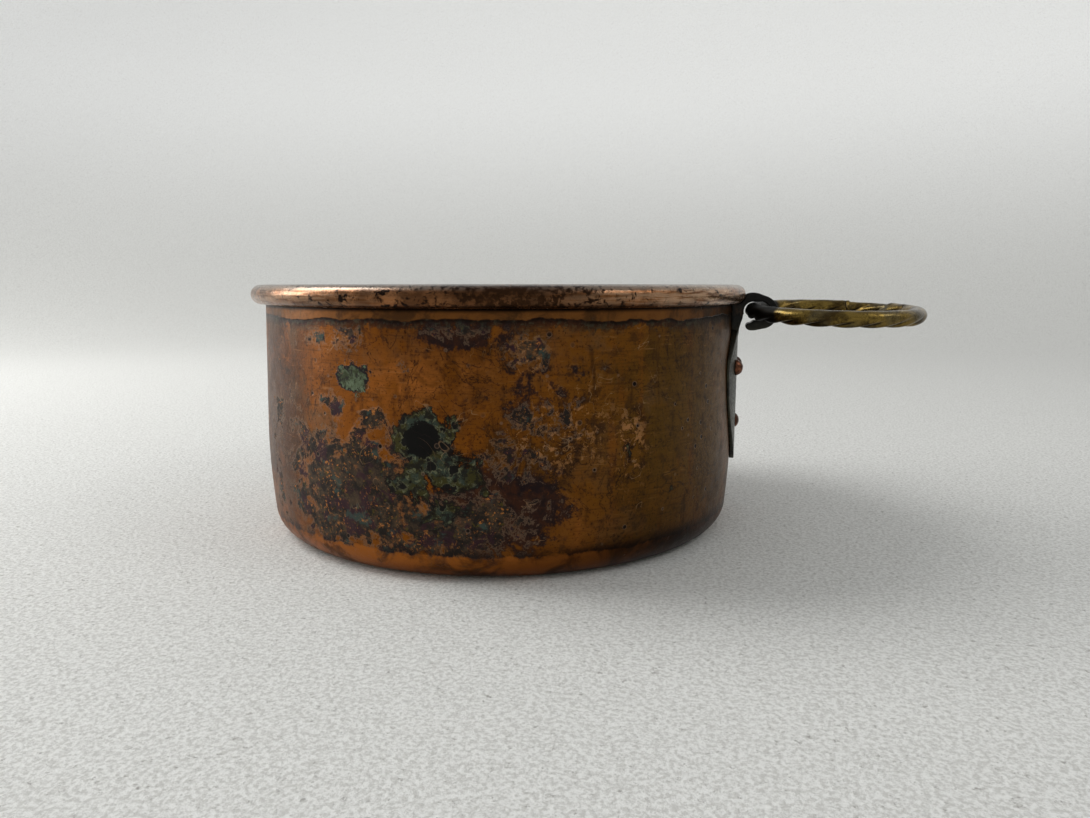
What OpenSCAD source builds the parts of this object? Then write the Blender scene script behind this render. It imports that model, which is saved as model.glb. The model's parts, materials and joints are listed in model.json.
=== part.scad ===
// Mixing bowl of copper sheet with a wired rim. An iron leaf bracket is riveted
// to the wall, and a brass ring hangs in the open scroll at its top.
// Origin: centre of the flat base, on the bowl's axis. +Z up, +X towards the ring.

/* [Bowl] */
// Outer radius of the wall at its widest
wall_r = 105.8; // [95:0.1:120]
// Height from the table to the top of the rim
bowl_h = 106.5; // [102:0.5:112]
// Thickness of the copper sheet
sheet_t = 2; // [1.6:0.1:2.4]
// Outer radius of the corner between the base and the wall
corner_r = 11; // [8:0.5:14]
// How far the foot of the wall leans in above the corner
foot_lean = 1.6; // [0.2:0.1:2]
// How much narrower the wall is under the rim than at its widest
rim_lean = 1.4; // [0.5:0.1:2]
// Height of the wall's widest place
lean_z = 42; // [35:1:50]

/* [Rim] */
// Radius of the iron wire that the rim is rolled over
wire_r = 2; // [1.6:0.1:2.2]
// Width of the seam where the rolled edge meets the wall again
seam_w = 0.3; // [0.2:0.05:0.5]

/* [Bracket] */
// Half the width of the leaf plate at its widest
leaf_half_w = 21; // [16:0.5:23]
// Height of the leaf's widest place
leaf_wide_z = 70.5; // [67:0.5:73]
// Height of the leaf's lower tip
leaf_tip_z = 29; // [27:0.5:31]
// Distance of the leaf's outer face from the wall at its widest
leaf_t = 1.9; // [1.7:0.1:2.4]
// Radius of the leaf's crowned outer face
crown_r = 65; // [60:1:75]
// Half the width of the neck where it leaves the leaf
neck_half_w = 5.5; // [4.5:0.1:6]
// Half the width of the scroll at its far side
scroll_half_w = 3.2; // [2.5:0.1:3.5]

/* [Rivets] */
// Height of the two upper rivets
rivet_upper_z = 71; // [68:0.5:73]
// Height of the lower rivet
rivet_lower_z = 46.5; // [44:0.5:50]
// Distance of each upper rivet from the leaf's centre line
rivet_side = 8.5; // [7:0.5:10]
// Radius of a rivet's shank
shank_r = 2.2; // [1.8:0.1:2.4]
// Radius of an upper rivet's domed outer head
upper_head_r = 3.5; // [3:0.1:4]
// Height of the upper domed heads above the leaf
upper_head_h = 2.8; // [2:0.1:3]
// Radius of the lower rivet's outer head
lower_head_r = 3.2; // [3:0.1:4]
// Height of the lower rivet's head above the leaf
lower_head_h = 1.7; // [1.4:0.1:2.8]
// Radius of the hammered head inside the bowl
inner_head_r = 4.8; // [4:0.1:5.5]

/* [Ring] */
// Radius of the ring along the middle of its bar
ring_r = 33.5; // [28:0.1:36]
// Radius of the ring's bar
bar_r = 3.4; // [3:0.1:3.5]
// Distance of the bar's centre from the outside of the wall
bar_out = 8; // [7.8:0.1:8.6]
// Depth of the bar's centre below the top of the rim
bar_drop = 11.3; // [11:0.1:11.8]
// How far the ring's free end droops, in degrees
ring_droop = 0.9; // [0:0.1:2]
// How far the ring lies over to one side, in degrees
ring_roll = 2.5; // [-2.5:0.1:2.5]

/* [Hidden] */
$fn = 96;
wide_fn = 720;
// rolled rim: its tube, the radius of the circle that it follows, and its height
bead_r = wire_r + sheet_t;
bead_ring_r = wall_r - rim_lean - sheet_t + bead_r;
bead_z = bowl_h - bead_r;
// centre of the ring's bar inside the scroll, which is also the hinge axis
bar_x = wall_r + bar_out;
bar_z = bowl_h - bar_drop;
// scroll: hole for the bar and the two arcs of its outline, from the bar's centre
hole_r = 4.1;
hole_length = 3;
scroll_arcs = [[-0.2, -0.25, 8.15], [3.4, -0.5, 7.2]];
scroll_tip = [-1.6, -6.6, 1.5];
// mouth between the neck and the scroll's tip, and the neck itself, from the bar's centre
scroll_mouth = [[0.8, -3.5], [-1.2, -5.2], [-2.6, -6], [-1.8, -9], [-10, -9], [-10, -4], [-3.6, -1]];
neck_outline = [[-12, -14], [-7.2, -14], [-6, -10], [-5.8, -7.6], [-5.2, -5.4], [-4.5, -3.4],
    [-4.3, -1.5], [-4.3, 0.8], [-7.4, 3], [-12, 3]];
scroll_reach = 11;
bead_gap = 0.15;
neck_z = 87.5;
throat_half_w = neck_half_w - 0.5;
leaf_x = wall_r + leaf_t;
crown_x = leaf_x - crown_r;
inner_head_h = 1;
reach = 60;
over = 1;

// Outer radius of the wall at height z, between the corner and the rim
function wall_x(z) = z > lean_z
    ? wall_r - rim_lean * (z - lean_z) / (bead_z - lean_z)
    : wall_r - foot_lean * pow((lean_z - z) / (lean_z - corner_r), 2);

// Radius of the wall's inner face at height z
function lining_x(z) = wall_x(z) - sheet_t;

// Half of the bowl's outline in the XZ plane, moved in by the distance inset
function bowl_outline(inset, top_z) = let (
        steps = 12,
        corner = corner_r - inset,
        corner_x = wall_r - foot_lean - corner_r
    ) concat(
        [[0, inset]],
        [for (i = [0 : steps]) let (a = -90 + 90 * i / steps)
            [corner_x + corner * cos(a), corner_r + corner * sin(a)]],
        [for (i = [1 : steps]) let (z = corner_r + (lean_z - corner_r) * i / steps)
            [wall_x(z) - inset, z]],
        [[wall_x(top_z) - inset, top_z], [0, top_z]]
    );

// One side of the leaf in the YZ plane, from its tip to the neck: an ellipse
// pinched towards the tip, then a cosine shoulder
function leaf_side(side) = let (steps = 16) concat(
        [for (i = [0 : steps]) let (a = 90 * i / steps)
            [side * leaf_half_w * pow(sin(a), 1.5), leaf_wide_z - (leaf_wide_z - leaf_tip_z) * cos(a)]],
        [for (i = [1 : steps]) let (part = i / steps)
            [side * (throat_half_w + (leaf_half_w - throat_half_w) * cos(90 * part)),
                leaf_wide_z + (neck_z - leaf_wide_z) * part]]
    );

// Puts a list in the opposite order
function reversed(list) = [for (i = [len(list) - 1 : -1 : 0]) list[i]];

// Points on an arc; a circle is given as [x, y, radius]
function arc(circle, from, to) = let (steps = 30)
    [for (i = [0 : steps]) let (a = from + (to - from) * i / steps)
        [circle[0] + circle[2] * cos(a), circle[1] + circle[2] * sin(a)]];

// Outline of a belt stretched around two circles
function belt(c1, c2) = let (
        run = [c2[0] - c1[0], c2[1] - c1[1]],
        along = atan2(run[1], run[0]),
        touch = acos((c1[2] - c2[2]) / norm(run))
    ) concat(arc(c1, along + touch, along + 360 - touch), arc(c2, along - touch, along + touch));

// Everything inside the bowl's outline moved in by the distance inset
module bowl_space(inset) {
    rotate([0, 0, 180]) rotate_extrude($fn = wide_fn) polygon(bowl_outline(inset, bowl_h + over));
}

// Copper sheet: base, wall and the edge rolled outwards over the wire
module bowl_shell() {
    color("peru")
    difference() {
        rotate_extrude() difference() {
            union() {
                difference() {
                    polygon(bowl_outline(0, bead_z));
                    polygon(bowl_outline(sheet_t, bowl_h + over));
                }
                translate([bead_ring_r, bead_z]) circle(bead_r);
            }
            translate([bead_ring_r, bead_z]) circle(wire_r);
            translate([wall_x(bead_z), bead_z - bead_r]) square([seam_w, bead_r - wire_r / 2]);
        }
        shank_holes();
    }
}

// Iron wire that stiffens the rolled rim
module rim_wire() {
    color("dimgray") rotate_extrude() translate([bead_ring_r, bead_z]) circle(wire_r);
}

// Outline of the open scroll and neck in the XZ plane, seen with the bar's centre at the origin
module scroll_outline() {
    difference() {
        polygon(belt(scroll_arcs[0], scroll_arcs[1]));
        polygon(belt([0, 0, hole_r], [hole_length, 0, hole_r]));
        polygon(scroll_mouth);
    }
    translate([scroll_tip[0], scroll_tip[1]]) circle(scroll_tip[2]);
    polygon(neck_outline);
}

// Cylinder whose side is the leaf's crowned outer face
module crown() {
    translate([crown_x, 0, 0]) rotate([0, 0, 180]) cylinder(h = bowl_h, r = crown_r, $fn = wide_fn);
}

// Leaf plate bent to the wall, its neck and the scroll that holds the ring
module ring_bracket() {
    color("darkslategray")
    difference() {
        union() {
            // leaf, with its crowned outer face
            intersection() {
                translate([wall_r - reach, 0, 0]) rotate([90, 0, 90]) linear_extrude(2 * reach)
                    polygon(concat(leaf_side(1), reversed(leaf_side(-1))));
                crown();
            }
            // neck and scroll, narrower towards the far side
            intersection() {
                translate([bar_x, 0, bar_z]) rotate([90, 0, 0])
                    linear_extrude(2 * neck_half_w + over, center = true) scroll_outline();
                linear_extrude(bowl_h) polygon([
                    [wall_r - reach, -neck_half_w], [wall_r + leaf_t, -neck_half_w],
                    [bar_x + scroll_reach, -scroll_half_w], [bar_x + scroll_reach, scroll_half_w],
                    [wall_r + leaf_t, neck_half_w], [wall_r - reach, neck_half_w]]);
            }
        }
        bowl_space(0);
        rotate_extrude() translate([bead_ring_r, bead_z]) circle(bead_r + bead_gap);
        shank_holes();
    }
}

// Moves its children to a rivet's place: side is 1 for front, -1 for back, 0 for the centre
module at_rivet(side, z) {
    rotate([0, 0, -side * asin(rivet_side / wall_r)]) translate([0, 0, z]) rotate([0, 90, 0]) children();
}

// Rivet's shank, from inside its inner head to inside its outer head
module shank(side, z) {
    start = lining_x(z) - inner_head_h / 2;
    at_rivet(side, z) translate([0, 0, start]) cylinder(h = leaf_x + over - start, r = shank_r);
}

module shank_holes() {
    shank(1, rivet_upper_z);
    shank(-1, rivet_upper_z);
    shank(0, rivet_lower_z);
}

// Domed outer head of a rivet, from sink below the leaf's face up to head_h above it
module outer_head(side, z, head_r, head_h, sink) {
    dome_r = (head_r * head_r + head_h * head_h) / (2 * head_h);
    at_rivet(side, z) translate([0, 0, leaf_x]) rotate_extrude() intersection() {
        translate([0, head_h - dome_r]) circle(dome_r);
        translate([0, -sink]) square([head_r, head_h + sink + over]);
    }
}

// Low hammered head inside the bowl
module inner_head(side, z) {
    intersection() {
        at_rivet(side, z) translate([0, 0, lining_x(z) - inner_head_h])
            cylinder(h = 2 * inner_head_h, r1 = inner_head_r - 1, r2 = inner_head_r + 1);
        bowl_space(sheet_t);
    }
}

// Copper rivet beside the leaf's centre line, its head closed down on the crowned face
module upper_rivet(side) {
    color("sienna") {
        shank(side, rivet_upper_z);
        inner_head(side, rivet_upper_z);
        difference() {
            outer_head(side, rivet_upper_z, upper_head_r, upper_head_h, over);
            crown();
        }
    }
}

module rivet_upper_front() {
    upper_rivet(1);
}

module rivet_upper_back() {
    upper_rivet(-1);
}

module rivet_lower() {
    color("sienna") {
        shank(0, rivet_lower_z);
        inner_head(0, rivet_lower_z);
        outer_head(0, rivet_lower_z, lower_head_r, lower_head_h, 0);
    }
}

// Brass ring, standing out level from the scroll
module hanging_ring() {
    color("darkgoldenrod")
    translate([bar_x, 0, bar_z]) rotate([ring_roll, ring_droop, 0]) translate([ring_r, 0, 0])
        rotate_extrude() translate([ring_r, 0]) circle(bar_r);
}

bowl_shell();
rim_wire();
ring_bracket();
rivet_upper_front();
rivet_upper_back();
rivet_lower();
hanging_ring();
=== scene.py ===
"""An old copper mixing bowl with a rolled rim, an iron leaf bracket and a rope-twist brass ring.

Everything is in metres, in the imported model's frame: +Z up, +X from the bowl's axis to the ring.
A direction round the bowl is given in degrees from the side that faces the camera,
positive towards the ring.
"""

import json
import math

import bpy
import numpy as np
from mathutils import Euler, Matrix, Vector, noise


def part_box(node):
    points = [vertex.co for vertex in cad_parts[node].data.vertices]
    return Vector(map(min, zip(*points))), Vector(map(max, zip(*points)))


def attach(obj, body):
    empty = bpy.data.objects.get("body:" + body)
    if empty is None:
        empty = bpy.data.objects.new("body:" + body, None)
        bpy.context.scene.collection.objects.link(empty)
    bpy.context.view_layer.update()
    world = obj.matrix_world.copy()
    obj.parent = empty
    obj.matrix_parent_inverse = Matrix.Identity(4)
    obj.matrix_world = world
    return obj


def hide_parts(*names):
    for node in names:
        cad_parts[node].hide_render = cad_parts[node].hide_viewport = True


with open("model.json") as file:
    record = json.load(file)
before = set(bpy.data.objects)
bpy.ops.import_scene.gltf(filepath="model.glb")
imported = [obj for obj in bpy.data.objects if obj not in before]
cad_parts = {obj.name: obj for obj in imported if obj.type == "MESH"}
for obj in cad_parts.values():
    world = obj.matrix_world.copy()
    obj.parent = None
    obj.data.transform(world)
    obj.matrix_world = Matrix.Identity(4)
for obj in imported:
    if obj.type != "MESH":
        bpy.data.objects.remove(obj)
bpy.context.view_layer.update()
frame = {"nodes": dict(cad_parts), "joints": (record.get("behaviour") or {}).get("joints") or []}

MM = 0.001
FRONT = 15.0  # direction of the camera, in degrees from -Y towards +X

# Bowl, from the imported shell's box and the sheet that it is made of
SHELL_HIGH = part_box("bowl_shell")[1]
SHEET_T = 2.0 * MM
BEAD_R = 4.0 * MM
CORNER_R = 11.0 * MM
FOOT_LEAN = 1.6 * MM
RIM_LEAN = 1.4 * MM
WIDE_Z = 42.0 * MM
BOWL_H = SHELL_HIGH.z
BEAD_RING_R = SHELL_HIGH.x - BEAD_R
BEAD_Z = BOWL_H - BEAD_R
WIDE_R = BEAD_RING_R - BEAD_R + SHEET_T + RIM_LEAN
BOWL_SEGMENTS = 440
BASE_ROWS = 10
CORNER_ROWS = 14
WALL_ROWS = 86
BEAD_ROWS = 32
LINING_ROWS = 44
INNER_CORNER_ROWS = 9
INNER_BASE_ROWS = 12
BEAD_FROM, BEAD_TO = -122, 180  # the part of the bead's circle that shows, in degrees

# Heights of what marks the outside of the bowl
FOOT_Z = 10 * MM  # top of the rubbed corner round the base
COLLAR_Z = 94.3 * MM  # dark wavy line below the rim
CREASE_Z = 98.2 * MM  # where the bead turns back to the wall
LIP_Z = 105 * MM  # where the tin comes over the rim

# Ring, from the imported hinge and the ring's box
BAR_X, _, BAR_Z = frame["joints"][0]["pos_m"]
RING_OUTER_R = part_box("hanging_ring")[1].y
BAR_R = 3.4 * MM
RING_R = RING_OUTER_R - BAR_R
RING_TURN = Euler((math.radians(2.5), math.radians(0.9), 0))  # it lies a little askew in the scroll
RING_SEGMENTS = 720
BAR_SEGMENTS = 56
TWIST_STRANDS = 4
TWIST_TURNS = 5
GROOVE_DEPTH = 1.35 * MM
# Round the ring, in degrees from its far side: the thinner stretch, the joints' marks, and the scroll
THIN_FROM, THIN_TO = 36, 71
MARKS = (76, 22)
SCROLL_AT = 180

# Light given off by the wall round the stage, behind the object and in front of it
WALL_GLOW_BACK = 0.3
WALL_GLOW_FRONT = 0.02


# ---------------------------------------------------------------- helpers

def clamp(x):
    return min(max(x, 0.0), 1.0)


def smooth(x, low, high):
    """0 at low and 1 at high, with a soft step between; high may be the lower. Numbers or arrays."""
    t = np.clip((x - low) / (high - low), 0.0, 1.0)
    return t * t * (3 - 2 * t)


def srgb(red, green, blue):
    """A colour given as 0 to 255 on screen, in linear light."""
    return tuple((c / 255 / 12.92) if c < 10.3 else ((c / 255 + 0.055) / 1.055) ** 2.4
                 for c in (red, green, blue)) + (1.0,)


def wave(x, y, z, size, seed=0.0):
    """Smooth noise from -1 to 1 whose bumps are about size metres wide."""
    return noise.noise(Vector((x / size + seed, y / size - seed, z / size + 2 * seed)))


def new_object(name, vertices, faces, material):
    mesh = bpy.data.meshes.new(name)
    mesh.from_pydata(vertices, [], faces)
    mesh.validate()
    mesh.update()
    mesh.polygons.foreach_set("use_smooth", [True] * len(mesh.polygons))
    piece = bpy.data.objects.new(name, mesh)
    bpy.context.scene.collection.objects.link(piece)
    mesh.materials.append(material)
    return piece


def set_attribute(piece, name, values):
    attribute = piece.data.attributes.new(name, "FLOAT", "POINT")
    attribute.data.foreach_set("value", np.asarray(values, np.float32))


def grid_faces(rings, around):
    """Quads between rings of vertices that are stored one after the other."""
    faces = []
    for i in range(rings - 1):
        for j in range(around):
            k = (j + 1) % around
            faces.append((i * around + j, i * around + k, (i + 1) * around + k, (i + 1) * around + j))
    return faces


# ---------------------------------------------------------------- materials

class Graph:
    """A material and its nodes. Inputs may be numbers, colours or another node's output."""

    def __init__(self, name):
        self.material = bpy.data.materials.new(name)
        self.material.use_nodes = True
        self.tree = self.material.node_tree
        self.tree.nodes.clear()
        self.shader = self.add("ShaderNodeBsdfPrincipled")
        output = self.add("ShaderNodeOutputMaterial")
        self.tree.links.new(self.shader.outputs[0], output.inputs["Surface"])
        self.place = self.add("ShaderNodeTexCoord").outputs["Object"]
        self.height = self.add("ShaderNodeSeparateXYZ", self.place).outputs["Z"]

    def add(self, kind, *inputs, **settings):
        node = self.tree.nodes.new(kind)
        for key, value in settings.items():
            setattr(node, key, value)
        for i, value in enumerate(inputs):
            self.put(node.inputs[i], value)
        return node

    def put(self, socket, value):
        if isinstance(value, bpy.types.NodeSocket):
            self.tree.links.new(value, socket)
        else:
            socket.default_value = value

    def calc(self, operation, a, b=0.0):
        return self.add("ShaderNodeMath", a, b, operation=operation).outputs[0]

    def add_up(self, *values):
        total = values[0]
        for value in values[1:]:
            total = self.calc("ADD", total, value)
        return total

    def noise(self, size, detail, rough=0.55, stretch=(1, 1, 1), bend=0.0, seed=0.0):
        """Noise from 0 to 1 whose blotches are about size metres wide, stretched along each axis."""
        scaled = self.add("ShaderNodeMapping", self.place)
        scaled.inputs["Location"].default_value = (seed, -seed, 2 * seed)
        scaled.inputs["Scale"].default_value = [1 / s for s in stretch]
        texture = self.add("ShaderNodeTexNoise")
        self.put(texture.inputs["Vector"], scaled.outputs[0])
        settings = {"Scale": 1 / size, "Detail": detail, "Roughness": rough, "Distortion": bend}
        for key, value in settings.items():
            self.put(texture.inputs[key], value)
        return texture.outputs[0]

    def dots(self, size, seed=0.0):
        """Distance from the nearest of scattered points about size metres apart, in those sizes."""
        moved = self.add("ShaderNodeMapping", self.place)
        moved.inputs["Location"].default_value = (seed, seed, seed)
        texture = self.add("ShaderNodeTexVoronoi")
        self.put(texture.inputs["Vector"], moved.outputs[0])
        self.put(texture.inputs["Scale"], 1 / size)
        return texture.outputs["Distance"]

    def step(self, value, low, high):
        """0 below low and 1 above high; high may be the lower of the two."""
        node = self.add("ShaderNodeMapRange", value, interpolation_type="SMOOTHSTEP")
        self.put(node.inputs["From Min"], low)
        self.put(node.inputs["From Max"], high)
        return node.outputs[0]

    def both(self, *masks):
        total = masks[0]
        for mask in masks[1:]:
            total = self.calc("MULTIPLY", total, mask)
        return total

    def blend(self, below, above, mask):
        """below where mask is 0, above where it is 1; colours."""
        node = self.add("ShaderNodeMix", data_type="RGBA")
        self.put(node.inputs["Factor"], mask)
        self.put(node.inputs[6], below)
        self.put(node.inputs[7], above)
        return node.outputs[2]

    def between(self, below, above, mask):
        """below where mask is 0, above where it is 1; numbers."""
        node = self.add("ShaderNodeMix", data_type="FLOAT")
        self.put(node.inputs["Factor"], mask)
        self.put(node.inputs[2], below)
        self.put(node.inputs[3], above)
        return node.outputs[0]

    def painted(self, name):
        return self.add("ShaderNodeAttribute", attribute_name=name).outputs["Fac"]

    def finish(self, colour, metallic, roughness, relief, depth):
        """Fills in the shader. relief is the bump's height, from 0 to about 1 for depth metres."""
        self.put(self.shader.inputs["Base Color"], colour)
        self.put(self.shader.inputs["Metallic"], metallic)
        self.put(self.shader.inputs["Roughness"], roughness)
        bump = self.add("ShaderNodeBump")
        self.put(bump.inputs["Height"], relief)
        bump.inputs["Distance"].default_value = depth
        bump.inputs["Strength"].default_value = 1.0
        self.put(self.shader.inputs["Normal"], bump.outputs[0])
        return self.material


def sound_copper(g, f):
    """Brown copper with orange and olive places, before the stains."""
    tone = g.step(g.add_up(f["broad"], f["swirl"]), 0.36, 0.66)
    colour = g.blend(srgb(130, 74, 21), srgb(76, 42, 12), tone)
    colour = g.blend(colour, srgb(166, 99, 43), g.both(g.painted("bare"), g.step(f["mottle"], 0.36, 0.58)))
    colour = g.blend(colour, srgb(90, 64, 22), g.both(g.painted("olive"), g.step(f["streak"], 0.22, 0.5)))
    # pale oxide film; on the left side of the wall it also stands in as a painted reflection of the bright
    # wall
    film_and_reflection = g.step(g.add_up(g.noise(26 * MM, 5, 0.6, seed=11.0), g.both(f["speckle"], 0.4)), 0.5, 0.66)
    colour = g.blend(colour, srgb(104, 82, 60), g.both(film_and_reflection, g.add_up(0.2, g.both(0.6, g.painted("film_and_reflection")))))
    colour = g.blend(colour, srgb(46, 30, 20), g.both(0.55, g.step(f["fleck"], 0.5, 0.66)))
    colour = g.blend(colour, srgb(46, 29, 16), g.both(0.65, g.step(f["streak"], 0.57, 0.7)))
    colour = g.blend(colour, srgb(52, 33, 17), g.both(0.4, g.step(f["brushed"], 0.52, 0.68)))
    colour = g.blend(colour, srgb(150, 108, 66), g.both(0.4, g.step(f["brushed"], 0.36, 0.28)))
    flake = g.step(g.add_up(f["fine"], g.both(f["swirl"], 0.9), g.both(0.1, g.painted("flake"))), 0.6, 0.64)
    colour = g.blend(colour, srgb(34, 23, 20), g.both(0.8, g.painted("flake"), g.step(f["fleck"], 0.5, 0.56)))
    colour = g.blend(colour, srgb(178, 126, 80), g.both(0.85, g.painted("flake"), flake))
    return g.blend(colour, srgb(26, 17, 12), g.both(0.75, g.step(f["grain"], 0.54, 0.68)))


def plum_oxide(g, f, colour):
    """Purple-brown oxide, nearly black in its middle."""
    plum = g.step(g.add_up(g.painted("plum"), g.both(f["swirl"], 1.5), f["speckle"]), 0.34, 0.5)
    tint = g.blend(srgb(54, 28, 18), srgb(26, 17, 22), g.step(f["fleck"], 0.38, 0.56))
    return g.blend(colour, tint, g.both(0.9, plum)), plum


def grey_crust(g, f, colour):
    """Grey oxide with teal, plum, olive and golden places, edged with a pale line."""
    field = g.add_up(g.painted("grey"), g.both(f["swirl"], 1.7), g.both(f["speckle"], 1.1))
    grey = g.step(field, 0.42, 0.52)
    edge = g.both(g.step(field, 0.34, 0.4), g.step(field, 0.46, 0.42))
    tint = g.blend(srgb(72, 58, 44), srgb(36, 31, 27), g.step(f["fleck"], 0.42, 0.58))
    purple = g.step(g.noise(9 * MM, 4, 0.6, seed=21.0), 0.52, 0.6)
    tint = g.blend(tint, srgb(56, 32, 40), g.both(0.8, purple))
    teal = g.step(g.noise(8 * MM, 4, 0.65, seed=27.0), 0.56, 0.64)
    tint = g.blend(tint, srgb(60, 74, 68), g.both(0.8, teal))
    tint = g.blend(tint, srgb(88, 76, 24), g.both(0.75, g.step(f["fine"], 0.6, 0.66)))
    gold = g.both(g.step(g.noise(1.5 * MM, 5, 0.75, seed=8.2), 0.56, 0.62), g.step(f["mottle"], 0.46, 0.56))
    tint = g.blend(tint, srgb(182, 116, 54), gold)
    colour = g.blend(colour, tint, grey)
    return g.blend(colour, srgb(132, 106, 84), g.both(0.45, edge)), grey


def verdigris(g, f, colour):
    """Grey-green crust inside a dark, ragged outline."""
    field = g.add_up(g.painted("verdigris"), g.both(f["swirl"], 1.3), g.both(f["speckle"], 0.8))
    edge = g.step(field, 0.34, 0.4)
    tint = g.blend(srgb(56, 62, 38), srgb(104, 118, 92), g.step(f["fleck"], 0.42, 0.62))
    tint = g.blend(tint, srgb(38, 34, 30), g.both(0.85, g.step(f["fine"], 0.5, 0.6)))
    colour = g.blend(colour, srgb(28, 22, 22), edge)
    return g.blend(colour, tint, g.step(g.add_up(field, f["speckle"]), 0.46, 0.54)), edge


def black_scale(g, f, colour):
    """Near-black scale in a lace of teal and olive, pierced by dark holes."""
    field = g.add_up(g.painted("scale"), g.both(f["swirl"], 1.3), g.both(f["speckle"], 0.6))
    halo = g.step(field, 0.32, 0.4)
    tint = g.blend(srgb(54, 64, 54), srgb(60, 56, 22), g.step(g.noise(7 * MM, 4, 0.6, seed=2.6), 0.42, 0.54))
    tint = g.blend(tint, srgb(112, 114, 84), g.both(0.75, g.step(f["fine"], 0.54, 0.6)))
    dark = g.step(g.noise(3 * MM, 5, 0.7, seed=18.0), 0.5, 0.57)
    tint = g.blend(tint, srgb(24, 21, 18), g.both(0.85, dark))
    hole = g.add_up(g.dots(5 * MM), g.both(f["speckle"], 1.6))
    tint = g.blend(tint, srgb(112, 112, 86), g.both(0.6, g.step(hole, 0.44, 0.38)))
    tint = g.blend(tint, srgb(18, 15, 13), g.step(hole, 0.38, 0.32))
    colour = g.blend(colour, srgb(26, 20, 18), g.step(field, 0.27, 0.32))
    colour = g.blend(colour, tint, halo)
    return g.blend(colour, srgb(9, 7, 5), g.step(field, 0.66, 0.7)), halo


def pits_and_lines(g, f, colour):
    """Small dark pits with pale lips, and thin dark lines where stains have dried."""
    distance = g.dots(7 * MM, 4.4)
    some = g.step(g.noise(20 * MM, 2, seed=7.7), 0.42, 0.58)
    colour = g.blend(colour, srgb(124, 100, 80), g.both(0.55, some, g.step(distance, 0.17, 0.13)))
    pits = g.both(some, g.step(distance, 0.13, 0.09))
    colour = g.blend(colour, srgb(22, 17, 15), pits)
    away = g.calc("ABSOLUTE", g.calc("SUBTRACT", g.noise(22 * MM, 6, 0.6, bend=1.2, seed=31.0), 0.5))
    lines = g.both(g.step(away, 0.009, 0.003), g.step(f["broad"], 0.4, 0.55))
    colour = g.blend(colour, srgb(34, 24, 20), g.both(0.7, lines))
    away = g.calc("ABSOLUTE", g.calc("SUBTRACT", g.noise(16 * MM, 2, 0.4, bend=2.0, seed=43.0), 0.5))
    scratches = g.both(g.step(away, 0.006, 0.002), g.step(g.noise(18 * MM, 2, seed=46.0), 0.54, 0.62))
    return g.blend(colour, srgb(158, 124, 90), g.both(0.5, scratches)), pits


def collar_and_crease(g, f, colour, outside):
    """A smooth collar under the rim, a dark wavy line with blotches below it, and dirt and painted shade in
    the crease.
    """
    ripple = g.calc("SUBTRACT", g.noise(24 * MM, 4, 0.55, stretch=(1, 1, 30), seed=6.0), 0.5)
    level = g.add_up(g.height, g.both(ripple, 8 * MM))
    collar = g.both(outside, g.step(level, COLLAR_Z - 0.2 * MM, COLLAR_Z + 0.2 * MM))
    not_collar = g.calc("SUBTRACT", 1.0, collar)
    below = g.both(outside, g.step(level, COLLAR_Z - 6.3 * MM, COLLAR_Z - 0.2 * MM), not_collar)
    blotch = g.step(g.add_up(f["mottle"], g.both(f["speckle"], 0.7), g.both(below, 0.3)), 0.58, 0.64)
    blotch_tint = g.blend(srgb(38, 25, 24), srgb(54, 56, 46), g.step(f["fine"], 0.48, 0.6))
    colour = g.blend(colour, blotch_tint, g.both(0.9, below, blotch))
    collar_tint = g.blend(srgb(116, 74, 36), srgb(72, 48, 27), g.step(f["mottle"], 0.42, 0.62))
    colour = g.blend(colour, collar_tint, g.both(0.85, collar))
    line = g.both(outside, g.step(level, COLLAR_Z - 1.5 * MM, COLLAR_Z - 0.3 * MM),
                  g.step(level, COLLAR_Z + 0.4 * MM, COLLAR_Z))
    colour = g.blend(colour, srgb(26, 17, 13), g.both(0.9, line, g.step(f["fleck"], 0.36, 0.54)))
    # dirt and painted shade in the crease under the bead's overhang
    off_bead = g.step(g.painted("bead"), 0.9, 0.1)
    crease = g.both(outside, g.step(g.height, CREASE_Z - 1.6 * MM, CREASE_Z), off_bead)
    return g.blend(colour, srgb(18, 11, 7), crease), collar


def worn_foot_with_painted_shade(g, f, colour, outside):
    """The corner round the base: rubbed on one side, dark with painted shade on the other, with a ragged dark
    edge.
    """
    level = g.add_up(g.height, g.both(f["swirl"], 7 * MM), g.both(f["speckle"], 3 * MM))
    foot = g.both(outside, g.step(level, FOOT_Z + 0.5 * MM, FOOT_Z - 0.5 * MM))
    edge = g.both(outside, g.step(level, FOOT_Z + 4 * MM, FOOT_Z + 0.5 * MM), g.calc("SUBTRACT", 1.0, foot))
    colour = g.blend(colour, srgb(28, 18, 20), g.both(0.8, edge, g.step(f["mottle"], 0.42, 0.54)))
    tint = g.blend(srgb(160, 94, 38), srgb(88, 50, 20), g.step(f["mottle"], 0.4, 0.6))
    colour = g.blend(colour, tint, g.both(0.9, foot))
    # painted shade along the bottom of the wall on the right, near the floor
    low = g.step(level, FOOT_Z + 7 * MM, FOOT_Z - 1 * MM)
    return g.blend(colour, srgb(24, 14, 9), g.both(0.95, g.painted("shade"), low))


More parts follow.
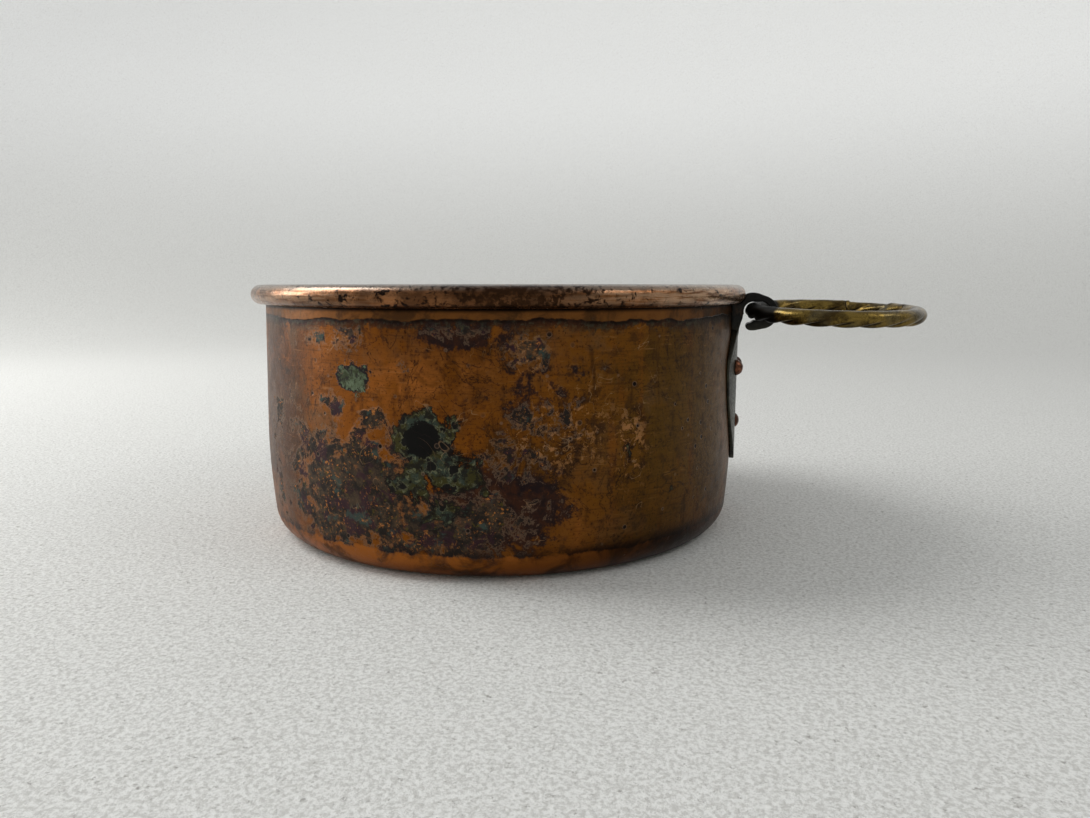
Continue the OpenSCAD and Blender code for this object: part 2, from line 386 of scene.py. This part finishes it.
def rubbed_bead_with_painted_light(g, f, colour):
    """The rolled rim: rubbed copper, browner in hollows, with dark pits, painted shade at the front and
    painted highlights on the left and right.
    """
    hollow = g.step(g.noise(11 * MM, 5, 0.65, seed=9.0), 0.38, 0.6)
    tint = g.blend(srgb(146, 98, 62), srgb(92, 59, 34), hollow)
    # painted highlight streaks on the left and right of the bead
    highlight_streaks = g.step(f["brushed"], 0.62, 0.42)
    tint = g.blend(tint, srgb(204, 172, 142), g.both(0.75, g.painted("painted_highlight"), highlight_streaks))
    lip = g.step(g.height, LIP_Z - 0.8 * MM, LIP_Z + 0.8 * MM)
    tint = g.blend(tint, srgb(156, 148, 136), g.both(0.6, lip))
    # dark pits, more of them where the front of the bead has painted shade
    pitted = g.add_up(f["fine"], g.both(f["swirl"], 0.5), g.both(0.14, g.painted("shade")))
    tint = g.blend(tint, srgb(26, 17, 11), g.step(pitted, 0.56, 0.64))
    # painted shade on the front of the bead
    tint = g.blend(tint, srgb(58, 36, 20), g.both(0.8, g.painted("shade")))
    return g.blend(colour, tint, g.painted("bead"))


def worn_tin(g, f, colour):
    """Dull tin on the inside and over the lip, worn through to the copper in places."""
    tin = g.step(g.add_up(g.painted("tin"), g.both(f["swirl"], 0.5), g.both(f["speckle"], 0.5)), 0.42, 0.58)
    dull = g.step(g.add_up(f["broad"], f["swirl"]), 0.4, 0.7)
    tint = g.blend(srgb(150, 148, 142), srgb(98, 94, 88), dull)
    tint = g.blend(tint, srgb(60, 54, 48), g.both(0.8, g.step(f["fleck"], 0.58, 0.7)))
    tint = g.blend(tint, srgb(44, 40, 36), g.both(0.6, g.step(f["grain"], 0.56, 0.68)))
    worn = g.step(g.add_up(g.noise(30 * MM, 5, 0.65, seed=4.0), f["speckle"]), 0.6, 0.68)
    tint = g.blend(tint, srgb(150, 96, 60), g.both(0.8, worn))
    return g.blend(colour, tint, tin), tin


def copper_material():
    """Stained old copper outside, a rubbed rim, and worn tin inside, with painted shade and painted
    highlights in places.
    """
    g = Graph("aged_copper")
    f = {
        "broad": g.noise(50 * MM, 3, 0.5),
        "mottle": g.noise(13 * MM, 7, 0.68, bend=0.6),
        "fleck": g.noise(5 * MM, 6, 0.72, seed=3.1),
        "fine": g.noise(2.4 * MM, 5, 0.7, bend=0.5, seed=15.0),
        "grain": g.noise(1.0 * MM, 4, 0.7, seed=5.7),
        "streak": g.noise(6 * MM, 4, 0.6, stretch=(1, 1, 7), seed=1.3),
        "brushed": g.noise(0.8 * MM, 3, 0.6, stretch=(16, 16, 1), seed=12.0),
    }
    f["swirl"] = g.calc("SUBTRACT", f["mottle"], 0.5)
    f["speckle"] = g.calc("SUBTRACT", f["fleck"], 0.5)
    outside = g.calc("SUBTRACT", 1.0, g.step(g.painted("tin"), 0.0, 0.3))

    colour = sound_copper(g, f)
    colour, plum = plum_oxide(g, f, colour)
    colour, grey = grey_crust(g, f, colour)
    colour, green = verdigris(g, f, colour)
    colour, scale = black_scale(g, f, colour)
    colour, pits = pits_and_lines(g, f, colour)
    colour, collar = collar_and_crease(g, f, colour, outside)
    colour = worn_foot_with_painted_shade(g, f, colour, outside)
    colour = rubbed_bead_with_painted_light(g, f, colour)
    colour, tin = worn_tin(g, f, colour)

    stain = g.calc("MAXIMUM", g.calc("MAXIMUM", green, scale), g.both(0.75, grey))
    stain = g.calc("MAXIMUM", stain, g.both(0.5, plum))
    stain = g.both(stain, g.calc("SUBTRACT", 1.0, g.calc("MAXIMUM", tin, g.painted("bead"))))
    metallic = g.between(0.92, 0.3, stain)
    smoothness = g.between(g.between(0.42, 0.24, g.painted("bead")), 0.46, tin)
    roughness = g.add_up(g.between(smoothness, 0.6, stain), g.both(f["speckle"], 0.4))
    g.put(g.shader.inputs["Specular IOR Level"], 0.18)
    relief = g.add_up(
        g.both(f["grain"], 0.22), g.both(f["fine"], 0.3),
        g.both(f["fleck"], 0.35), g.both(f["mottle"], 0.6),
        g.both(stain, 0.4), g.both(pits, -0.6), g.both(collar, 0.5))
    return g.finish(colour, metallic, roughness, relief, 0.25 * MM)


def iron_material():
    """Blackened forged iron, grey where it is rubbed."""
    g = Graph("forged_iron")
    patch = g.noise(8 * MM, 5, 0.65)
    grain = g.noise(0.9 * MM, 4, 0.7, seed=2.0)
    rubbed = g.both(g.painted("rubbed"), g.step(patch, 0.3, 0.55))
    colour = g.blend(srgb(22, 21, 19), srgb(60, 59, 48), rubbed)
    colour = g.blend(colour, srgb(74, 54, 38), g.both(0.45, g.step(patch, 0.58, 0.7)))
    colour = g.blend(colour, srgb(16, 16, 16), g.both(0.7, g.step(grain, 0.52, 0.66)))
    roughness = g.between(0.3, 0.55, g.step(grain, 0.35, 0.65))
    relief = g.add_up(patch, g.both(grain, 0.4))
    return g.finish(colour, 0.7, roughness, relief, 0.3 * MM)


def rivet_material():
    """Hammered copper, browned."""
    g = Graph("rivet_copper")
    patch = g.noise(2.4 * MM, 4, 0.6)
    grain = g.noise(0.5 * MM, 3, 0.6, seed=2.0)
    colour = g.blend(srgb(122, 76, 54), srgb(58, 36, 26), g.step(patch, 0.38, 0.6))
    colour = g.blend(colour, srgb(40, 30, 24), g.both(0.6, g.step(grain, 0.55, 0.68)))
    roughness = g.between(0.3, 0.5, patch)
    return g.finish(colour, 0.9, roughness, g.add_up(patch, g.both(grain, 0.3)), 0.12 * MM)


def wire_material():
    """Plain iron wire."""
    g = Graph("iron_wire")
    patch = g.noise(4 * MM, 3)
    colour = g.blend(srgb(80, 76, 72), srgb(52, 44, 38), patch)
    return g.finish(colour, 0.8, g.between(0.4, 0.6, patch), patch, 0.1 * MM)


def brass_material():
    """Aged brass: dark in the grooves, rubbed on top, blackened where it sits in the scroll."""
    g = Graph("aged_brass")
    patch = g.noise(9 * MM, 5, 0.6)
    fleck = g.noise(1.6 * MM, 5, 0.7, seed=3.0)
    colour = g.blend(srgb(124, 102, 48), srgb(66, 51, 22), g.step(patch, 0.4, 0.6))
    colour = g.blend(colour, srgb(84, 78, 58), g.both(0.6, g.step(g.noise(14 * MM, 3, seed=6.0), 0.5, 0.64)))
    colour = g.blend(colour, srgb(46, 35, 18), g.both(0.7, g.step(fleck, 0.5, 0.66)))
    groove = g.painted("groove")
    sunk = g.step(g.add_up(groove, g.both(0.3, fleck)), 0.4, 0.9)
    colour = g.blend(colour, srgb(34, 26, 14), g.both(0.9, sunk))
    grime = g.step(g.add_up(g.painted("grime"), g.both(patch, 0.4)), 0.45, 0.85)
    colour = g.blend(colour, srgb(26, 24, 20), grime)
    dirty = g.calc("MAXIMUM", grime, groove)
    roughness = g.add_up(g.between(0.2, 0.5, dirty), g.both(fleck, 0.14))
    relief = g.add_up(patch, g.both(fleck, 0.4))
    return g.finish(colour, 0.9, roughness, relief, 0.16 * MM)


def floor_material():
    """Pale matt ground with a fine grain, turning into a wall that glows softly, dimmer in front."""
    g = Graph("pale_ground")
    grain = g.noise(3 * MM, 5, 0.75)
    fine = g.noise(1.4 * MM, 4, 0.75, seed=5.0)
    colour = g.blend(srgb(228, 228, 224), srgb(198, 197, 192), g.step(fine, 0.4, 0.62))
    colour = g.blend(colour, srgb(146, 143, 137), g.both(0.8, g.step(grain, 0.58, 0.68)))
    ahead = g.add("ShaderNodeVectorMath", g.place, operation="DOT_PRODUCT")
    ahead.inputs[1].default_value = (-0.45, 0.89, 0)  # towards the brightest part of the wall
    behind = g.step(ahead.outputs["Value"], -1.2, 1.2)
    glow = g.both(g.step(g.height, 0.0, 0.7), g.between(WALL_GLOW_FRONT, WALL_GLOW_BACK, behind))
    g.put(g.shader.inputs["Emission Color"], (0.97, 0.98, 1.0, 1.0))
    g.put(g.shader.inputs["Emission Strength"], glow)
    return g.finish(colour, 0.0, 0.85, g.add_up(grain, g.both(0.5, fine)), 0.5 * MM)


# ---------------------------------------------------------------- bowl

def wall_r(z):
    """Outer radius of the wall at height z, between the corner and the rim."""
    if z > WIDE_Z:
        return WIDE_R - RIM_LEAN * (z - WIDE_Z) / (BEAD_Z - WIDE_Z)
    return WIDE_R - FOOT_LEAN * ((WIDE_Z - z) / (WIDE_Z - CORNER_R)) ** 2


def bowl_section():
    """The sheet's section as (radius, height, how much it is rim, how much it is tinned)."""
    corner_x = WIDE_R - FOOT_LEAN - CORNER_R
    crease_z = BEAD_Z - math.sqrt(BEAD_R ** 2 - (BEAD_RING_R - wall_r(BEAD_Z)) ** 2)
    points = [(corner_x * math.sqrt(i / BASE_ROWS), 0.0, 0.0, 0.0) for i in range(1, BASE_ROWS + 1)]
    for i in range(1, CORNER_ROWS + 1):
        a = math.radians(-90 + 90 * i / CORNER_ROWS)
        points.append((corner_x + CORNER_R * math.cos(a), CORNER_R + CORNER_R * math.sin(a), 0.0, 0.0))
    for i in range(1, WALL_ROWS + 1):
        z = CORNER_R + (crease_z - CORNER_R) * i / WALL_ROWS
        points.append((wall_r(z), z, 0.0, 0.0))
    for i in range(BEAD_ROWS + 1):
        a = math.radians(BEAD_FROM + (BEAD_TO - BEAD_FROM) * i / BEAD_ROWS)
        tin = 0.75 * smooth(math.degrees(a), 40, 150)
        radius, z = BEAD_RING_R + BEAD_R * math.cos(a), BEAD_Z + BEAD_R * math.sin(a)
        points.append((radius, z, 1.0 - 0.6 * tin, tin))
    for i in range(1, LINING_ROWS + 1):
        z = BEAD_Z + (CORNER_R - BEAD_Z) * i / LINING_ROWS
        points.append((wall_r(z) - SHEET_T, z, 0.0, 1.0))
    inner_r = CORNER_R - SHEET_T
    for i in range(1, INNER_CORNER_ROWS + 1):
        a = math.radians(-90 * i / INNER_CORNER_ROWS)
        points.append((corner_x + inner_r * math.cos(a), CORNER_R + inner_r * math.sin(a), 0.0, 1.0))
    for i in range(1, INNER_BASE_ROWS):
        points.append((corner_x * math.sqrt(1 - i / INNER_BASE_ROWS), SHEET_T, 0.0, 1.0))
    return points


# Stains, painted shade and painted highlights round the wall: kind, direction, height, half width and half
# height in mm, and strength
STAINS_AND_PAINTED_LIGHT = [
    ("verdigris", -31, 74, 8, 5, 0.9),
    ("grey", -35, 63, 6, 7, 0.66),
    ("grey", -26, 59, 6, 5, 0.66),
    ("grey", -32, 30, 38, 27, 0.8),
    ("grey", -12, 22, 28, 16, 0.7),
    ("grey", -22, 44, 20, 12, 0.62),
    ("grey", -58, 38, 12, 30, 0.5),
    ("grey", 5, 83, 8, 6, 0.56),
    ("grey", 8, 58, 16, 12, 0.46),
    ("grey", 0, 45, 14, 12, 0.55),
    ("grey", -36, 88, 16, 5, 0.5),
    ("grey", -8, 91, 18, 3, 0.5),
    ("grey", -39, 63, 5, 5, 0.6),
    ("scale", -15, 53, 9, 8, 1.0),
    ("scale", -11, 42, 14, 10, 0.6),
    ("scale", -18, 36, 10, 9, 0.5),
    ("scale", -12, 27, 11, 8, 0.44),
    ("scale", 26, 47, 3, 9, 0.4),
    ("scale", 38, 31, 4, 7, 0.38),
    ("plum", -3, 29, 23, 17, 0.95),
    ("plum", -16, 36, 46, 30, 0.42),
    ("plum", -8, 90, 20, 5, 0.7),
    ("plum", 6, 66, 22, 24, 0.46),
    ("bare", -19, 72, 24, 13, 0.9),
    ("bare", -40, 73, 8, 18, 0.6),
    ("bare", -8, 76, 20, 8, 0.7),
    ("bare", -43, 34, 5, 9, 1.0),
    ("bare", -33, 57, 6, 6, 1.0),
    ("bare", 16, 24, 15, 14, 0.7),
    ("flake", -26, 36, 34, 22, 0.35),
    ("flake", -10, 32, 14, 10, 0.9),
    ("flake", 5, 81, 6, 6, 1.0),
    ("flake", 10, 56, 18, 14, 0.9),
    ("flake", 26, 49, 6, 12, 1.0),
    ("flake", 0, 36, 14, 8, 0.8),
    ("olive", 45, 55, 60, 60, 0.95),
    # pale oxide film; on the left side it is also a painted reflection of the bright wall
    ("film_and_reflection", -62, 60, 40, 50, 1.0),
    ("film_and_reflection", 30, 82, 30, 16, 0.4),
    ("olive", 140, 55, 80, 60, 0.85),
    ("film_and_reflection", 215, 50, 70, 50, 0.9),
    ("plum", 175, 35, 90, 40, 0.42),
    # painted shade on the front of the bead, and along the bottom of the wall on the right
    ("shade", 2, 102, 22, 12, 1.0),
    ("shade", 44, 6, 52, 16, 1.0),
    # painted highlights on the left and right of the bead
    ("painted_highlight", 58, 103, 60, 10, 1.0),
    ("painted_highlight", -55, 103, 40, 10, 0.45),
]
STAIN_AND_PAINTED_LIGHT_KINDS = ("bare", "olive", "film_and_reflection", "flake", "plum", "grey", "verdigris", "scale", "shade", "painted_highlight")
BACK_STAIN_COUNT = 26
BACK_STAIN_SEED = 12


def all_stains_and_painted_light():
    """The stains, painted shade and painted highlights above, and more stains of the same kinds scattered
    round the far side.
    """
    stains = list(STAINS_AND_PAINTED_LIGHT)
    rng = np.random.default_rng(BACK_STAIN_SEED)
    kinds = ["grey", "plum", "bare", "flake", "verdigris", "grey", "bare", "plum"]
    for i in range(BACK_STAIN_COUNT):
        direction = rng.uniform(95, 275)
        height = rng.uniform(15, 90)
        width = rng.uniform(6, 24)
        tall = width * rng.uniform(0.6, 1.2)
        stains.append((kinds[i % len(kinds)], direction, height, width, tall, rng.uniform(0.5, 0.8)))
    return stains


def paint_stains_and_painted_light(piece, points):
    """Writes one 0 to 1 value per vertex for each kind of stain, painted shade and painted highlight."""
    directions = np.degrees(np.arctan2(points[:, 0], -points[:, 1])) - FRONT
    stains = all_stains_and_painted_light()
    for kind in STAIN_AND_PAINTED_LIGHT_KINDS:
        field = np.zeros(len(points))
        for name, direction, height, width, tall, strength in stains:
            if name == kind:
                turn = (directions - direction + 180) % 360 - 180
                across = np.radians(turn) * WIDE_R / (width * MM)
                up = (points[:, 2] - height * MM) / (tall * MM)
                field = np.maximum(field, strength * np.exp(-0.7 * (across ** 2 + up ** 2)))
        set_attribute(piece, kind, field)


def hammered(x, y, radius, z, on_bead):
    """A point of the bowl with its slight dents; x and y are the direction from the axis."""
    place = (x * radius, y * radius, z)
    dent = 0.10 * wave(*place, 34 * MM) + 0.04 * wave(*place, 9 * MM, 3)
    if on_bead:
        dent = min(-0.06 + 0.06 * wave(*place, 5 * MM, 7) + dent * 0.4, 0.0)
    else:
        dent *= smooth(z, 2 * MM, 14 * MM)
    r = radius + dent * MM
    sag = 0.12 * min(0.0, wave(x * radius, y * radius, 0, 30 * MM, 5)) * MM * smooth(z, 90 * MM, 104 * MM)
    return r * x, r * y, z + sag


def build_bowl(material):
    section = bowl_section()
    around = BOWL_SEGMENTS
    vertices = []
    bead = []
    tin = []
    for radius, z, rim, tinned in section:
        for j in range(around):
            a = 2 * math.pi * j / around
            vertices.append(hammered(math.cos(a), math.sin(a), radius, z, rim > 0))
            bead.append(rim)
            tin.append(tinned)
    faces = grid_faces(len(section), around)
    bottom, top = len(vertices), len(vertices) + 1
    vertices += [(0, 0, 0), (0, 0, SHEET_T)]
    bead += [0, 0]
    tin += [0, 1]
    last = (len(section) - 1) * around
    for j in range(around):
        k = (j + 1) % around
        faces.append((bottom, k, j))
        faces.append((top, last + j, last + k))
    piece = new_object("bowl", vertices, faces, material)
    set_attribute(piece, "bead", bead)
    set_attribute(piece, "tin", tin)
    paint_stains_and_painted_light(piece, np.array(vertices))
    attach(piece, "bowl")
    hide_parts("bowl_shell")


# ---------------------------------------------------------------- bracket and rivets

def forged_copy(node, name, material, voxel, passes, dents):
    """A CAD node's shape, evened out with small quads, its edges softened and its faces dented.

    voxel is in millimetres; dents are pairs of width and depth in metres.
    """
    piece = bpy.data.objects.new(name, frame["nodes"][node].data.copy())
    bpy.context.scene.collection.objects.link(piece)
    piece.data.materials.clear()
    piece.data.materials.append(material)
    piece.data.transform(Matrix.Scale(1 / MM, 4))
    remesh = piece.modifiers.new("even", "REMESH")
    remesh.mode = "VOXEL"
    remesh.voxel_size = voxel
    soften = piece.modifiers.new("soften", "SMOOTH")
    soften.factor = 0.5
    soften.iterations = passes
    evaluated = piece.evaluated_get(bpy.context.evaluated_depsgraph_get())
    mesh = bpy.data.meshes.new_from_object(evaluated)
    mesh.transform(Matrix.Scale(MM, 4))
    piece.modifiers.clear()
    piece.data = mesh
    places = np.empty((len(mesh.vertices), 3), np.float32)
    normals = np.empty_like(places)
    mesh.vertices.foreach_get("co", places.ravel())
    mesh.vertices.foreach_get("normal", normals.ravel())
    push = [sum(depth * wave(*p, size, 11 * size / MM) for size, depth in dents) for p in places]
    places += normals * np.array(push, np.float32)[:, None]
    mesh.vertices.foreach_set("co", places.ravel())
    mesh.polygons.foreach_set("use_smooth", [True] * len(mesh.polygons))
    mesh.update()
    return piece


def build_bracket(material):
    hammer_marks = [(7 * MM, 0.12 * MM), (2.2 * MM, 0.05 * MM)]
    piece = forged_copy("ring_bracket", "bracket", material, 0.32, 5, hammer_marks)
    heights = np.array([v.co.z for v in piece.data.vertices])
    set_attribute(piece, "rubbed", smooth(heights, 92 * MM, 84 * MM))
    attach(piece, "bowl")
    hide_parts("ring_bracket")


def build_rivets(material):
    for node in ("rivet_upper_front", "rivet_upper_back", "rivet_lower"):
        piece = forged_copy(node, node + "_head", material, 0.16, 3, [(1.8 * MM, 0.10 * MM)])
        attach(piece, "bowl")
        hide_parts(node)


# ---------------------------------------------------------------- ring

def bar_section(a, t):
    """The bar's radius and how deep it is in a groove, at the angle a round the ring and t round the bar."""
    # strands show below and inside, and are worn away on the top and outside
    worn = clamp(0.5 + 0.8 * math.sin(t + math.radians(15)))
    strand = abs(math.cos(TWIST_STRANDS / 2 * (t - TWIST_TURNS * a)))
    cut = (1 - strand) * (1 - 0.93 * worn)
    r = BAR_R - GROOVE_DEPTH * cut
    r += 0.05 * MM * wave(math.cos(a) * RING_R, math.sin(a) * RING_R, math.sin(t) * BAR_R, 6 * MM)
    # thinner stretch where the bar's ends are joined
    degrees = math.degrees(a)
    thin = smooth(degrees, THIN_FROM, THIN_FROM + 4) * (1 - smooth(degrees, THIN_TO - 0.5, THIN_TO + 0.5))
    r -= 0.6 * MM * thin * smooth(math.sin(t), 0.0, 0.7)
    lean = degrees + 2.0 * math.degrees(t) / 90
    mark = sum(math.exp(-((lean - at) / 0.7) ** 2) for at in MARKS)
    return r - 0.25 * MM * mark, clamp(1.6 * cut ** 2 + mark)


def build_ring(material):
    place = (Matrix.Translation((BAR_X, 0, BAR_Z)) @ RING_TURN.to_matrix().to_4x4()
             @ Matrix.Translation((RING_R, 0, 0)))
    vertices = []
    groove = []
    grime = []
    for i in range(RING_SEGMENTS):
        a = 2 * math.pi * i / RING_SEGMENTS
        from_scroll = abs(math.degrees(a) - SCROLL_AT)
        for j in range(BAR_SEGMENTS):
            t = 2 * math.pi * j / BAR_SEGMENTS
            r, depth = bar_section(a, t)
            out = RING_R + r * math.cos(t)
            vertices.append(place @ Vector((out * math.cos(a), out * math.sin(a), r * math.sin(t))))
            groove.append(depth)
            grime.append(smooth(from_scroll, 52, 37))
    faces = grid_faces(RING_SEGMENTS, BAR_SEGMENTS)
    last = (RING_SEGMENTS - 1) * BAR_SEGMENTS
    for j in range(BAR_SEGMENTS):
        k = (j + 1) % BAR_SEGMENTS
        faces.append((last + j, last + k, k, j))
    piece = new_object("rope_ring", vertices, [f[::-1] for f in faces], material)
    set_attribute(piece, "groove", groove)
    set_attribute(piece, "grime", grime)
    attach(piece, "ring")
    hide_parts("hanging_ring")


# ---------------------------------------------------------------- stage

def build_floor(material):
    """A round floor that turns up into a pale wall far behind the object."""
    flat_r, turn_r, wall_h = 1.1, 1.2, 1.6
    section = [(flat_r * i / 6, 0.0) for i in range(1, 7)]
    for i in range(1, 13):
        a = math.radians(-90 + 90 * i / 12)
        section.append((flat_r + turn_r * math.cos(a), turn_r + turn_r * math.sin(a)))
    section.append((flat_r + turn_r, wall_h))
    around = 96
    vertices = []
    for radius, z in section:
        for j in range(around):
            a = 2 * math.pi * j / around
            vertices.append((radius * math.cos(a), radius * math.sin(a), z))
    faces = grid_faces(len(section), around)
    faces.append(tuple(range(around))[::-1])
    floor = new_object("floor", vertices, [f[::-1] for f in faces], material)


def add_light(name, place, size, power):
    """A round white light of size metres across, aimed at the middle of the bowl."""
    light = bpy.data.lights.new(name, "AREA")
    light.shape = "DISK"
    light.size = size
    light.energy = power
    lamp = bpy.data.objects.new(name, light)
    lamp.location = place
    lamp.rotation_euler = (Vector((0, 0, 0.05)) - Vector(place)).to_track_quat("-Z", "Y").to_euler()
    bpy.context.scene.collection.objects.link(lamp)


def build_lights():
    world = bpy.data.worlds.new("studio")
    world.use_nodes = True
    background = world.node_tree.nodes["Background"]
    background.inputs["Color"].default_value = (0.95, 0.97, 1.0, 1)
    background.inputs["Strength"].default_value = 0.5
    bpy.context.scene.world = world
    add_light("key", (-1.2, 0.1, 1.25), 0.9, 14)
    add_light("left", (-1.3, -0.1, 0.45), 0.6, 6)
    add_light("right", (1.2, -0.2, 1.2), 0.5, 2.5)


def build_camera():
    """Stands about 1.8 wall diameters from the axis, level with the rim, and looks a little down."""
    distance, height, down, aside = 0.3858, BOWL_H + 0.7 * MM, 8.74, 2.98
    camera = bpy.data.objects.new("camera", bpy.data.cameras.new("camera"))
    camera.data.sensor_width = 36
    camera.data.lens = 27.05
    camera.data.clip_start = 0.01
    a = math.radians(FRONT)
    camera.location = (distance * math.sin(a), -distance * math.cos(a), height)
    camera.rotation_euler = (math.radians(90 - down), 0, math.radians(FRONT - aside))
    bpy.context.scene.collection.objects.link(camera)
    bpy.context.scene.camera = camera
    bpy.context.scene.view_settings.view_transform = "Standard"


def main():
    build_camera()
    build_lights()
    build_floor(floor_material())
    build_bowl(copper_material())
    build_bracket(iron_material())
    build_rivets(rivet_material())
    build_ring(brass_material())
    wire = frame["nodes"]["rim_wire"]
    wire.data.materials.clear()
    wire.data.materials.append(wire_material())


main()
